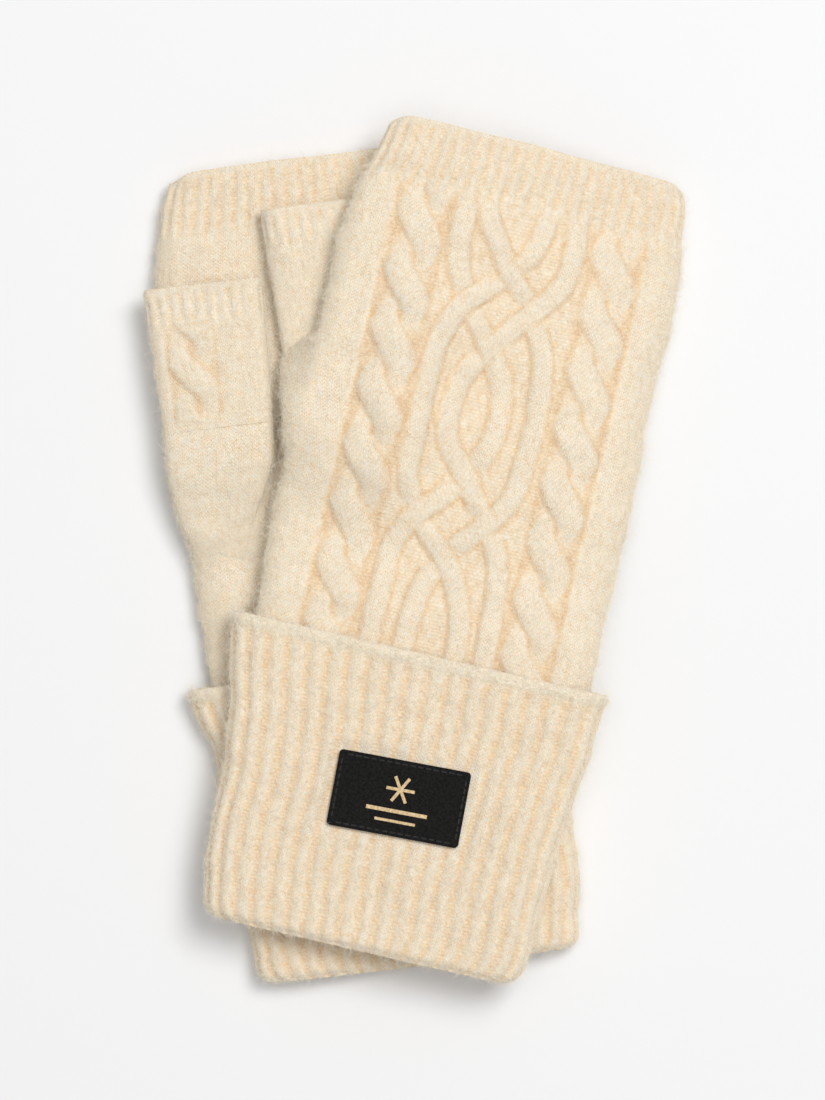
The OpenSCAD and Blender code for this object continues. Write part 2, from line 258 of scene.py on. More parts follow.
def mesh_object(name, V, quads, tris, attrs=None, corner=None, rim=None):
    me = bpy.data.meshes.new(name)
    V = np.asarray(V, np.float32)
    quads = np.asarray(quads, np.int32).reshape(-1, 4)
    tris = np.asarray(tris, np.int32).reshape(-1, 3)
    nl = quads.size + tris.size
    me.vertices.add(len(V))
    me.vertices.foreach_set("co", V.ravel())
    me.loops.add(nl)
    me.loops.foreach_set("vertex_index", np.concatenate([quads.ravel(), tris.ravel()]))
    me.polygons.add(len(quads) + len(tris))
    starts = np.concatenate([np.arange(len(quads)) * 4, quads.size + np.arange(len(tris)) * 3]).astype(np.int32)
    me.polygons.foreach_set("loop_start", starts)
    me.update(calc_edges=True)
    for k, a in (attrs or {}).items():
        at = me.attributes.new(k, "FLOAT", "POINT")
        at.data.foreach_set("value", np.asarray(a, np.float32).ravel())
    if corner is not None:
        at = me.attributes.new("stitch", "FLOAT2", "CORNER")
        at.data.foreach_set("vector", np.asarray(corner, np.float32).ravel())
    me.validate()
    me.shade_smooth()
    if rim is not None:                            # crisp edge all round the outer face
        ev = np.zeros(len(me.edges) * 2, np.int32)
        me.edges.foreach_get("vertices", ev)
        ev = ev.reshape(-1, 2)
        sh = rim[ev[:, 0]] & rim[ev[:, 1]]
        at = me.attributes.get("sharp_edge") or me.attributes.new("sharp_edge", "BOOLEAN", "EDGE")
        at.data.foreach_set("value", sh)
    ob = bpy.data.objects.new(name, me)
    bpy.context.collection.objects.link(ob)
    return ob


HAIR = {}          # body -> list of (roots, normals, lengths)


def shell(name, O, I, closed, k, stitch, attrs, cap_lo=True, cap_hi=True):
    """A closed cloth shell: fine outer grid O, inner grid I on every k-th line, zipped round the rim."""
    ny, nx = O.shape[:2]
    iy = np.arange(0, ny, k)
    ix = np.arange(0, nx, k)
    if iy[-1] != ny - 1:
        raise RuntimeError(name + " rows")
    if not closed and ix[-1] != nx - 1:
        raise RuntimeError(name + " cols")
    II = I[np.ix_(iy, ix)]
    my, mx = II.shape[:2]
    V = np.concatenate([O.reshape(-1, 3), II.reshape(-1, 3)])
    N = ny * nx
    oid = lambda j, i: j * nx + np.mod(i, nx)
    nid = lambda j, i: N + j * mx + np.mod(i, mx)
    cx = nx if closed else nx - 1
    J, A = np.meshgrid(np.arange(ny - 1), np.arange(cx), indexing="ij")
    qo = np.stack([oid(J, A), oid(J, A + 1), oid(J + 1, A + 1), oid(J + 1, A)], -1).reshape(-1, 4)
    sx, sy = stitch
    co = np.stack([np.stack([sx[J, A], sy[J, A]], -1), np.stack([sx[J, A + 1], sy[J, A + 1]], -1),
                   np.stack([sx[J + 1, A + 1], sy[J + 1, A + 1]], -1), np.stack([sx[J + 1, A], sy[J + 1, A]], -1)], -2).reshape(-1, 2)
    cm = mx if closed else mx - 1
    J, A = np.meshgrid(np.arange(my - 1), np.arange(cm), indexing="ij")
    qi = np.stack([nid(J, A), nid(J + 1, A), nid(J + 1, A + 1), nid(J, A + 1)], -1).reshape(-1, 4)
    Jf, Af = J * k, A * k
    ci = np.stack([np.stack([sx[Jf, Af], sy[Jf, Af]], -1), np.stack([sx[Jf + k, Af], sy[Jf + k, Af]], -1),
                   np.stack([sx[Jf + k, Af + k], sy[Jf + k, Af + k]], -1), np.stack([sx[Jf, Af + k], sy[Jf, Af + k]], -1)], -2).reshape(-1, 2)
    tris, ct = [], []

    def zipper(fine, coarse, fs, flip):
        n = len(fine) - 1
        for i in range(n):
            j = min((i + k // 2) // k, len(coarse) - 1)
            t = [fine[i], coarse[j], fine[i + 1]]
            c = [fs[i], fs[min(j * k, n)], fs[i + 1]]
            if flip:
                t, c = t[::-1], c[::-1]
            tris.append(t); ct.extend(c)
            j2 = min((i + 1 + k // 2) // k, len(coarse) - 1)
            if j2 != j:
                t = [fine[i + 1], coarse[j], coarse[j2]]
                c = [fs[i + 1], fs[min(j * k, n)], fs[min(j2 * k, n)]]
                if flip:
                    t, c = t[::-1], c[::-1]
                tris.append(t); ct.extend(c)
    rf = np.arange(cx + 1); rc = np.arange(cm + 1)
    S = lambda j, i: np.stack([sx[j, i], sy[j, i]], -1)
    zipper(oid(0, rf), nid(0, rc), S(0, rf), False)
    zipper(oid(ny - 1, rf), nid(my - 1, rc), S(ny - 1, rf), True)
    if not closed:
        cf = np.arange(ny); cc = np.arange(my)
        zipper(oid(cf, 0), nid(cc, 0), S(cf, 0), True)
        zipper(oid(cf, nx - 1), nid(cc, mx - 1), S(cf, nx - 1), False)
    at = {}
    for key, a in attrs.items():
        # the inner face gets constant painted shade (0.75) and counts as purl
        inner = {"painted_shade": 0.75, "knit": 0.0}.get(key, 0.0)
        at[key] = np.concatenate([a.ravel(), np.full(my * mx, inner)])
    edge = np.zeros((ny, nx), bool)
    edge[0] = edge[-1] = True
    if not closed:
        edge[:, 0] = edge[:, -1] = True
    rim = np.concatenate([edge.ravel(), np.zeros(my * mx, bool)])
    return mesh_object(name, V / 1000.0, np.concatenate([qo, qi]), np.array(tris), at, np.concatenate([co, ci, np.array(ct)]), rim)


# ------------------------------------------------------------------ materials
def nodes_of(mat):
    mat.use_nodes = True
    nt = mat.node_tree
    for n in list(nt.nodes):
        nt.nodes.remove(n)
    return nt


class G:
    """Small helper to write node maths."""
    def __init__(s, nt):
        s.nt = nt

    def n(s, kind, **kw):
        nd = s.nt.nodes.new(kind)
        for k, v in kw.items():
            setattr(nd, k, v)
        return nd

    def m(s, op, a, b=None, c=None, clamp=False):
        nd = s.n("ShaderNodeMath", operation=op, use_clamp=clamp)
        for i, x in enumerate((a, b, c)):
            if x is None:
                continue
            if isinstance(x, (int, float)):
                nd.inputs[i].default_value = x
            else:
                s.nt.links.new(x, nd.inputs[i])
        return nd.outputs[0]

    def ramp(s, x, a, b):
        nd = s.n("ShaderNodeMapRange", interpolation_type="SMOOTHSTEP")
        s.nt.links.new(x, nd.inputs[0])
        nd.inputs[1].default_value, nd.inputs[2].default_value = a, b
        return nd.outputs[0]

    def mixc(s, f, a, b, blend="MIX"):
        nd = s.n("ShaderNodeMix", data_type="RGBA", blend_type=blend)
        for x, i in ((f, 0), (a, 6), (b, 7)):
            if isinstance(x, (int, float)):
                nd.inputs[i].default_value = x
            elif isinstance(x, tuple):
                nd.inputs[i].default_value = (*x, 1)
            else:
                s.nt.links.new(x, nd.inputs[i])
        return nd.outputs[2]


def knit_material(name, crest, valley_shade, deep_shade, stitch_mm=0.3, fuzz=0.35):
    mat = bpy.data.materials.new(name)
    nt = nodes_of(mat)
    g = G(nt)
    st = g.n("ShaderNodeAttribute", attribute_name="stitch").outputs["Vector"]
    sep = g.n("ShaderNodeSeparateXYZ")
    nt.links.new(st, sep.inputs[0])
    x, y = sep.outputs[0], sep.outputs[1]
    tc = g.n("ShaderNodeTexCoord").outputs["Object"]
    # uneven yarn: shift the stitch coordinates a little
    nz = g.n("ShaderNodeTexNoise"); nt.links.new(tc, nz.inputs["Vector"])
    nz.inputs["Scale"].default_value = 420; nz.inputs["Detail"].default_value = 2
    wob = g.m("SUBTRACT", nz.outputs[0], 0.5)
    x = g.m("ADD", x, g.m("MULTIPLY", wob, 0.28))
    y = g.m("ADD", y, g.m("MULTIPLY", wob, 0.45))
    ax = g.m("ABSOLUTE", g.m("SUBTRACT", g.m("MULTIPLY", g.m("FRACT", x), 2.0), 1.0))   # 0 in the middle of a wale
    # knit face: V legs
    c = g.m("SUBTRACT", y, g.m("MULTIPLY", ax, 0.85))
    leg = g.m("SINE", g.m("MULTIPLY", g.m("FRACT", c), math.pi))
    leg = g.m("POWER", leg, 0.7)
    side = g.m("MULTIPLY", g.ramp(ax, -0.05, 0.3), g.ramp(g.m("SUBTRACT", 1.0, ax), -0.1, 0.35))
    hk = g.m("MULTIPLY", leg, g.m("MULTIPLY_ADD", side, 0.6, 0.4))
    # purl face: staggered bumps
    row = g.m("FLOOR", g.m("MULTIPLY", y, 1.0))
    arc = g.m("MULTIPLY_ADD", g.m("COSINE", g.m("MULTIPLY_ADD", x, 2 * math.pi, g.m("MULTIPLY", row, math.pi))), 0.3, 0.7)
    hp = g.m("MULTIPLY", g.m("SINE", g.m("MULTIPLY", g.m("FRACT", y), math.pi)), arc)
    kn = g.n("ShaderNodeAttribute", attribute_name="knit").outputs["Fac"]
    hs = g.m("ADD", g.m("MULTIPLY", hk, kn), g.m("MULTIPLY", hp, g.m("SUBTRACT", 1.0, kn)))
    st0 = g.n("ShaderNodeAttribute", attribute_name="still").outputs["Fac"]
    hs = g.m("ADD", g.m("MULTIPLY", hs, g.m("SUBTRACT", 1.0, st0)), g.m("MULTIPLY", st0, 0.62))
    # fibres
    f1 = g.n("ShaderNodeTexNoise"); nt.links.new(tc, f1.inputs["Vector"])
    f1.inputs["Scale"].default_value = 2600; f1.inputs["Detail"].default_value = 4; f1.inputs["Roughness"].default_value = 0.7
    f2 = g.n("ShaderNodeTexNoise"); nt.links.new(tc, f2.inputs["Vector"])
    f2.inputs["Scale"].default_value = 160; f2.inputs["Detail"].default_value = 3
    height = g.m("ADD", g.m("MULTIPLY", hs, stitch_mm / 1000), g.m("MULTIPLY", f1.outputs[0], 0.00007))
    bp = g.n("ShaderNodeBump"); nt.links.new(height, bp.inputs["Height"])
    bp.inputs["Strength"].default_value = 0.8; bp.inputs["Distance"].default_value = 1.0
    # painted shade baked per vertex (hollows, creases, purl ground) pulls the colour toward the shade colours
    painted_shade = g.n("ShaderNodeAttribute", attribute_name="painted_shade").outputs["Fac"]
    # painted shade between the stitch legs: the lower the stitch height, the darker and peachier
    gap = g.m("SUBTRACT", 1.0, hs)
    f3 = g.n("ShaderNodeTexNoise"); nt.links.new(tc, f3.inputs["Vector"])
    f3.inputs["Scale"].default_value = 620; f3.inputs["Detail"].default_value = 3; f3.inputs["Roughness"].default_value = 0.65
    melange = g.m("MULTIPLY", g.m("SUBTRACT", f3.outputs[0], 0.5), 1.0)
    # the yarn's own streaks, drawn out along the wales
    cb = g.n("ShaderNodeCombineXYZ")
    nt.links.new(g.m("MULTIPLY", x, 0.75), cb.inputs[0])
    nt.links.new(g.m("MULTIPLY", y, 0.17), cb.inputs[1])
    f4 = g.n("ShaderNodeTexNoise"); nt.links.new(cb.outputs[0], f4.inputs["Vector"])
    f4.inputs["Scale"].default_value = 1.0; f4.inputs["Detail"].default_value = 3; f4.inputs["Roughness"].default_value = 0.6
    melange = g.m("ADD", melange, g.m("MULTIPLY", g.m("SUBTRACT", f4.outputs[0], 0.5), 0.85))
    # painted shade: the sunken purl ground is pushed a little toward the shade colours
    purl_shade = g.m("MULTIPLY", g.m("SUBTRACT", 1.0, kn), 0.04)
    # the yarn's melange and the purl shade are added to the painted shade
    painted_shade = g.m("ADD", g.m("ADD", painted_shade, melange), purl_shade)
    # stitch-gap shade is added; the sum picks the yarn colour, the painted shade colour and the deeper painted shade
    # colour
    shade_and_melange = g.m("ADD", painted_shade, g.m("MULTIPLY", gap, g.m("MULTIPLY_ADD", kn, 0.40, 0.36)), clamp=True)
    # blend from the yarn colour into painted shade, then into deeper painted shade
    col = g.mixc(g.ramp(shade_and_melange, 0.05, 0.75), crest, valley_shade)
    col = g.mixc(g.ramp(shade_and_melange, 0.62, 1.25), col, deep_shade)
    tint = g.mixc(g.ramp(f2.outputs[0], 0.3, 0.7), (0.965, 0.965, 0.975), (1.0, 0.995, 0.985))
    col = g.mixc(1.0, col, tint, "MULTIPLY")
    spk = g.mixc(g.ramp(f1.outputs[0], 0.32, 0.72), (0.86, 0.835, 0.79), (1.0, 1.0, 1.0))
    col = g.mixc(1.0, col, spk, "MULTIPLY")
    bs = g.n("ShaderNodeBsdfPrincipled")
    nt.links.new(col, bs.inputs["Base Color"])
    nt.links.new(bp.outputs[0], bs.inputs["Normal"])
    nt.links.new(g.m("MULTIPLY_ADD", f1.outputs[0], 0.12, 0.84), bs.inputs["Roughness"])
    bs.inputs["Specular IOR Level"].default_value = 0.12
    bs.inputs["Sheen Weight"].default_value = fuzz
    bs.inputs["Sheen Roughness"].default_value = 0.55
    bs.inputs["Sheen Tint"].default_value = (1.0, 0.95, 0.86, 1)
    bs.inputs["Subsurface Weight"].default_value = 0.12
    bs.inputs["Subsurface Radius"].default_value = (1.0, 0.72, 0.48)
    bs.inputs["Subsurface Scale"].default_value = 0.0016
    out = g.n("ShaderNodeOutputMaterial")
    nt.links.new(bs.outputs[0], out.inputs[0])
    return mat


# the first colour is the yarn's own; the second and third are painted shade for hollows and deep creases
CREST, VALLEY_SHADE, DEEP_SHADE = (0.95, 0.89, 0.765), (0.89, 0.71, 0.49), (0.74, 0.49, 0.28)
M_plain = knit_material("wool_plain", CREST, VALLEY_SHADE, DEEP_SHADE, 0.12)
M_cable = knit_material("wool_cable", CREST, VALLEY_SHADE, DEEP_SHADE, 0.10)
M_rib = knit_material("wool_rib", CREST, VALLEY_SHADE, DEEP_SHADE, 0.14)
M_rim = knit_material("wool_rim", (0.955, 0.90, 0.78), (0.91, 0.78, 0.60), DEEP_SHADE, 0.13)
M_inner = knit_material("wool_inner", (0.94, 0.88, 0.75), (0.88, 0.70, 0.48), DEEP_SHADE, 0.14)

WALE, COURSE = 1.36, 1.05
SIDE = ("left", "right")
BODY = ("left_glove", "right_glove")


def world(g, u, v, w):
    x, y = plan(g, u, v)
    return np.stack([x, y, base(g, u, v) + w], -1)


def add_hair(body, P, n, per_mm2, length, seed, cond=None):
    """Roots for the halo of fibres, spread evenly over a fine grid."""
    r = np.random.default_rng(seed)
    a = P[1:, 1:] - P[:-1, :-1]
    b = P[:-1, 1:] - P[1:, :-1]
    area = np.linalg.norm(np.cross(a, b), axis=-1) / 2
    if cond is not None:
        area = area * cond[:-1, :-1]
    tot = area.sum()
    k = int(tot * per_mm2)
    if k < 1:
        return
    c = np.cumsum(area.ravel()) / tot
    idx = np.searchsorted(c, r.uniform(0, 1, k))
    j, i = np.unravel_index(np.minimum(idx, c.size - 1), area.shape)
    s, t = r.uniform(0, 1, (2, k, 1))
    p = (P[j, i] * (1 - s) * (1 - t) + P[j, i + 1] * s * (1 - t) + P[j + 1, i] * (1 - s) * t + P[j + 1, i + 1] * s * t)
    HAIR.setdefault(body, []).append((p, n[j, i], length * np.exp(r.normal(0, 0.45, k)), r))


# Painted shade for hollows: how far each point lies below its blurred neighbourhood, scaled into a 0..1 colour mask.
def hollow_shade(h, closed, n, gain):
    return np.clip((blur(h, n, closed) - h) * gain + 0.02, 0, 1)


def row_count(a, b, step, k):
    n = max(1, int(round((b - a) / step / k))) * k
    return np.linspace(a, b, n + 1)


# ------------------------------------------------------------------ hand tubes
V_LO, BAND_V, V_TOP = 85.2, 224.0, 241.0


def swell(g, v):
    """How far the gusset pushes the thumb side outwards."""
    if g == 0:
        return 3.4 * sm((v - 128) / 30) * (1 - sm((v - 161) / 8))
    return 7.2 * sm((v - 131) / 35) * (1 - sm((v - 166.5) / 7.5))


def hand_surface(g, v, tt, inner=False):
    t = sm((v - 92) / 14)
    a, b = tab(LE, v), tab(RE, v)
    a = a - swell(g, v) - (2.4 * sm((v - 168) / 14) if g == 0 else 0.0)
    if not inner:
        a = a + 0.55 * EDGE[g](v, 0 * v) * sm((v - 96) / 20)
        b = b + 0.55 * EDGE[g](v + 400, 0 * v) * sm((v - 96) / 20)
    near = 1 - sm((v - 88) / 12)                 # stays under the turned cuff
    lo = 2.5 * (1 - t) + 0.9 * near
    hi = 11.1 * (1 - t) + HAND_T * t - 0.95 * near
    tip = 1.2 * sm((v - 226) / 15)
    if inner:
        tl = (2 * (1 - t) + (3.0, 2.0)[g] * t) * (1 - 0.45 * near)
        th = (2 * (1 - t) + (2.0, 3.0)[g] * t) * (1 - 0.45 * near)
        u, w, S = section(a + 2, b - 2, lo + tl + tip / 2, hi - th - tip / 2, 7.4, tt)
    else:
        u, w, S = section(a, b, lo + tip, hi - tip, 9.0, tt)
    return u, w, S


def hand_world(g, u, v, w):
    """Place hand points; the corners of the finger opening are rounded, and the swell of the right
    glove droops on to its thumb."""
    mid, hw = 0.5 * (tab(LE, v) + tab(RE, v)), 0.5 * (tab(RE, v) - tab(LE, v))
    drop = 2.2 * np.clip((np.abs(u - mid) - (hw - 6)) / 6, 0, 1) ** 2 * sm((v - 226) / 15)
    drop = drop + 0.35 * EDGE[g](u * 0.7 + 30, 0 * u) * sm((v - 226) / 15)
    P = world(g, u, v - drop, w)
    if g == 1:
        P[..., 2] -= 8.5 * sm((-50.5 - u) / 9.5) * sm((v - 144) / 20) * (1 - sm((v - 168) / 6))
    return P


S0 = 2 * quarter(9.0, 5.5)[0] + (102 - 18)
FB = frac_at(4.5, 9.0, S0)
NW_HAND = 156                                        # 52 ribs of three wales in the band
KS = 6


def columns(t0, t1, step):
    return row_count(t0 * 2 * S0, t1 * 2 * S0, step, KS) / (2 * S0)


def hand_relief(g, u, V2, f):
    """Everything raised on the outer face, as one field, so that neighbouring pieces meet."""
    upper = sm((f - FB * 0.7) / (FB * 0.9)) * sm((0.5 - FB * 0.7 - f) / (FB * 0.9))
    lower = sm((f - 0.5 - FB * 0.7) / (FB * 0.9)) * sm((1 - FB * 0.7 - f) / (FB * 0.9))
    back = lower if g == 0 else upper
    hc, kc, al, cr = cables(u, V2)
    hc, kc, cr = hc * back, kc * back + (1 - back), cr * back
    al = np.where(back > 0.5, al - u, 0)
    hr, kr = ribs(f * 52 + 0.25, 0.62, 1.1, 0.15)
    m = sm((V2 - 218.5) / 7.0)
    h = hc * (1 - m) + hr * m
    kn = kc * (1 - m) + kr * m
    lip = sm((V2 - (V_TOP - 2.6)) / 1.8)                  # bound-off rim
    h = h * (1 - lip) + lip * (-0.1) - 0.45 * sm((V2 - (V_TOP - 1.1)) / 1.4)
    kn = kn * (1 - lip) + lip
    near = np.exp(-((V2 - BAND_V) / 0.9) ** 2)            # same height where band and panel meet
    h = h * near + blur(h, 2, False) * (1 - near)
    return h, kn, upper, lower, m, al * (V2 <= BAND_V), cr * (1 - m)


def hand_piece(g, node, tt, v, mat, slot, closed=False, hair=1.7):
    k = KS
    tu = tt
    if closed:
        tt = tt[:-1]
    u, w, S = hand_surface(g, v, tt)
    V2 = v[:, None] + 0 * u
    P = hand_world(g, u, V2, w)
    nrm = normals(P, closed)
    f = np.mod(tt, 1.0)[None, :] + 0 * u
    h, kn, upper, lower, m, al, cr = hand_relief(g, u, V2, f)
    soft = SOFT[g](u, V2) * 0.75 * sm((V2 - 98) / 22) * upper
    disp = h + FINE[g](u + 300 * lower, V2) * 0.10 * sm((V2 - 92) / 6) + soft - 0.1
    disp = np.minimum(disp, 0.02) * lower + disp * (1 - lower)
    if g == 0:                                            # room for both thumbs to swing over the palm
        under = sm((V2 - 138) / 10) * (1 - lower)
        disp = disp * (1 - under) + np.minimum(disp, 0.10) * under
    O = P + nrm * disp[..., None]
    iu, iw, _ = hand_surface(g, v, tt, inner=True)
    I = hand_world(g, iu, v[:, None] + 0 * iu, iw)
    I[..., 2] += soft                                     # the wall keeps its thickness where the cloth dips
    still = np.zeros_like(h)
    for ax in (0, 1):
        jump = np.abs(np.diff(al, axis=ax)) > 1.0
        lo_, hi_ = [slice(None)] * 2, [slice(None)] * 2
        lo_[ax], hi_[ax] = slice(None, -1), slice(1, None)
        still[tuple(lo_)] = np.maximum(still[tuple(lo_)], jump)
        still[tuple(hi_)] = np.maximum(still[tuple(hi_)], jump)
    still = np.maximum(still, 1.0 * (np.abs(V2 - BAND_V) < 0.5))
    if closed:
        al = np.concatenate([al, al[:, :1]], 1)
    sx = tu[None, :] * NW_HAND + al / WALE
    sy = np.broadcast_to((v / COURSE)[:, None], sx.shape).copy()
    # painted shade: hollows of the relief, the crease lines round the cables, and the sunken purl ground
    painted_shade = hollow_shade(h, closed, 9, 0.95) + 0.34 * blur(cr, 2, False) + 0.19 * (1 - np.clip(kn, 0, 1))
    ob = shell(node, O, I, closed, k, (sx, sy), {"painted_shade": np.clip(painted_shade, 0, 1), "knit": kn, "still": still})
    ob.data.materials.append(mat)
    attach(ob, BODY[g]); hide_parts(node)
    add_hair(BODY[g], O, normals(O, closed), hair, 1.35, 100 + g * 37 + len(node), None)
    add_hair(BODY[g], O, normals(O, closed), hair * 0.05, 3.2, 900 + g * 37 + len(node), None)
    return ob


for g in (0, 1):
    s = SIDE[g]
    up_node, lo_node = ("palm_panel", "back_panel") if g == 0 else ("back_panel", "palm_panel")
    step = 0.36 if g else 0.46
    vs = row_count(V_LO, BAND_V, step, KS)
    vb = row_count(BAND_V, V_TOP, 0.34, KS)
    cu, cr, cl, ct = (columns(FB, 0.5 - FB, step), columns(0.5 - FB, 0.5 + FB, 0.42),
                      columns(0.5 + FB, 1 - FB, 0.62), columns(1 - FB, 1 + FB, 0.42))
    cab, pl = (M_cable, "cable_knit"), (M_plain, "plain_knit")
    um, lm = (pl, cab) if g == 0 else (cab, pl)
    ob = hand_piece(g, f"{s}_{up_node}", cu, vs, *um)
    ob = hand_piece(g, f"{s}_{lo_node}", cl, vs, *lm, hair=0.5)
    for nm, c in (("outer_side_seam", cr), ("thumb_side_seam", ct)):
        ob = hand_piece(g, f"{s}_{nm}", c, vs, *pl, hair=4.2)
    ring = np.concatenate([cu, cr[1:], cl[1:], ct[1:]])
    ob = hand_piece(g, f"{s}_finger_band", ring, vb, M_rib, "rib_knit", closed=True, hair=2.6)


# ------------------------------------------------------------------ cuffs
NR_CUFF = 40


def cuff_surface(g, v, tt, inner):
    a, b = tab(CL, v), tab(CR, v)
    turn = 5.0 * (1 - np.sqrt(np.clip(1 - np.clip(1 - v / 6.0, 0, 1) ** 2, 0, 1)))
    a, b = a + turn, b - turn
    if not inner:
        a = a + 0.5 * EDGE[g](v + 90, 0 * v); b = b + 0.5 * EDGE[g](v + 700, 0 * v)
        return section(a, b, 0 * v, CUFF_T + 0 * v, 9.0, tt, 6.8)
    lip = 2.4 * sm((2.2 - v) / 2.0)
    t = 2.2 + lip
    return section(a + t, b - t, t, CUFF_T - t, 7.2, tt, 4.6)


S1 = 2 * quarter(9.0, 6.8)[0] + (103 - 18)


def cuff_piece(g, name, v0, v1, step, k, mat, rim=False):
    v = row_count(v0, v1, step, k)
    n = int(round(2 * S1 / step / k)) * k
    tt = np.arange(n) / n
    tu = np.arange(n + 1) / n
    u, w, S = cuff_surface(g, v, tt, False)
    V2 = v[:, None] + 0 * u
    P = world(g, u, V2, w)
    nrm = normals(P, True)
    ph = tt[None, :] * NR_CUFF + 0.06 * SOFT[g](u * 0 + 5, V2) + 0 * u
    h, kn = ribs(ph, 1.15, 1.35, 0.22)
    lower = sm((tt[None, :] - 0.5 - 0.02) / 0.03) * sm((1 - 0.02 - tt[None, :]) / 0.03) + 0 * u
    if rim:
        q = (V2 - v0) / (v1 - v0)
        h = h * 0.35 * (1 - q) + 0.30 * np.sin(np.pi * q) - 0.75 * q**4 + 0.10 * np.sin(2 * np.pi * tt[None, :] * NR_CUFF * 2)
        kn = 0 * kn + 1.0
    else:
        h = h * (1 - 0.65 * sm((V2 - (v1 - 2.2)) / 2.2))
        roll = sm((3.2 - V2) / 3.2)
        h = h * (1 - 0.25 * roll)
        P = P - np.array([0, 0, 1.0]) * (((w - CUFF_T / 2) / (CUFF_T / 2)) * 2.3 * roll**2)[..., None]
    soft = SOFT[g](u + 150, V2 + 30) * 0.45
    h = blur(h, 2, True)
    disp = h + soft + FINE[g](u + 80, V2) * 0.10
    disp = np.minimum(disp, -0.02) * lower + disp * (1 - lower)
    if g == 1 and not rim:
        lu, lv = u - 1.4, V2 - 46.1
        c, sn = math.cos(2.4 * D), math.sin(2.4 * D)
        x, y = c * lu + sn * lv, -sn * lu + c * lv
        dx = np.maximum(np.abs(x) - 19.7, 0); dy = np.maximum(np.abs(y) - 11.4, 0)
        m = sm(1 - np.hypot(dx, dy) / 3.5) * (tt[None, :] < 0.5)
        disp = disp * (1 - m) + m * (-0.75)
    O = P + nrm * disp[..., None]
    iu, iw, _ = cuff_surface(g, v, tt, True)
    I = world(g, iu, v[:, None] + 0 * iu, iw)
    if not rim:
        I[0, :, 2] = I[0, :, 2]
    sx = np.broadcast_to(tu[None, :] * NR_CUFF * 4 - 1.0, (len(v), len(tu))).copy()
    sy = np.broadcast_to((v / COURSE)[:, None], sx.shape).copy()
    # painted shade: hollows of the ribs, plus darker purl rib valleys
    painted_shade = hollow_shade(h, True, 8, 0.95) + (0 if rim else 0.22 * (1 - kn))
    ob = shell(name, O, I, True, k, (sx, sy), {"painted_shade": painted_shade, "knit": kn})
    ob.data.materials.append(mat)
    body = ("left_turned_cuff", "right_turned_cuff")[g]
    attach(ob, body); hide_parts(name)
    cond = None
    if g == 1 and not rim:
        cond = (1 - m) ** 3
    add_hair(body, O, normals(O, True), 8.0 if rim else 3.4, 1.45, 300 + g * 7 + len(name), cond)
    return ob


for g in (0, 1):
    s = SIDE[g]
    tb = cuff_piece(g, f"{s}_cuff_turnback", 0.0, 85.2, 0.44 if g else 0.5, 6, M_rib)
    rm = cuff_piece(g, f"{s}_cuff_bind_off", 85.2, 88.8, 0.36, 6, M_rim, rim=True)
    # inner layer of the cuff
    v = row_count(1.5, 85.2, 0.9, 4)
    n = 400
    tt = np.arange(n) / n
    a, b = tab(IL, v), tab(IR, v)
    u, w, S = section(a, b, 2.5 + 0 * v, 11.1 + 0 * v, 7.0, tt, 4.3)
    V2 = v[:, None] + 0 * u
    P = world(g, u, V2, w)
    h, kn = ribs(tt[None, :] * NR_CUFF + 0 * u, 0.7, 2.0, 0.3)
    O = P + normals(P, True) * (h - 0.05)[..., None]
    u, w, S = section(a + 2, b - 2, 4.5 + 0 * v, 9.1 + 0 * v, 5.4, tt, 2.3)
    I = world(g, u, V2, w)
    sx = np.broadcast_to(np.arange(n + 1)[None, :] / n * NR_CUFF * 4 - 1.0, (len(v), n + 1)).copy()
    sy = np.broadcast_to((v / COURSE)[:, None], sx.shape).copy()
    # the inner cuff's rib hollows are painted as shade
    ob = shell(f"{s}_inner_cuff", O, I, True, 4, (sx, sy), {"painted_shade": hollow_shade(h, True, 5, 1.0), "knit": kn})
    ob.data.materials.append(M_inner)
    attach(ob, BODY[g]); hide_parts(f"{s}_inner_cuff")



# ------------------------------------------------------------------ thumbs
def thumb_world(g, x, y, z):
    l = LEAN[g]
    px, py = plan(g, PIV[g][0] - math.sin(l) * y + math.cos(l) * x, PIV[g][1] + math.cos(l) * y + math.sin(l) * x)
    return np.stack([px, py, z], -1)


def thumb_surface(g, y, tt, inner):
    hw = np.where(y < 0, np.sqrt(np.maximum(16.2**2 - y * y, 1)), 16.2 + 1.4 * np.clip(y, 0, 99) / 42.5)
    z0 = 11.4
    if inner:
        return section(-hw + 1.5, hw - 1.5, z0 + 1.5 + 0 * y, z0 + 5.9 + 0 * y, 4.4, tt, 2.2)
    return section(-hw, hw, z0 + 0 * y, z0 + 7.4 + 0 * y, 5.8, tt, 3.7)


S2 = 2 * quarter(5.8, 3.7)[0] + (34 - 11.6)


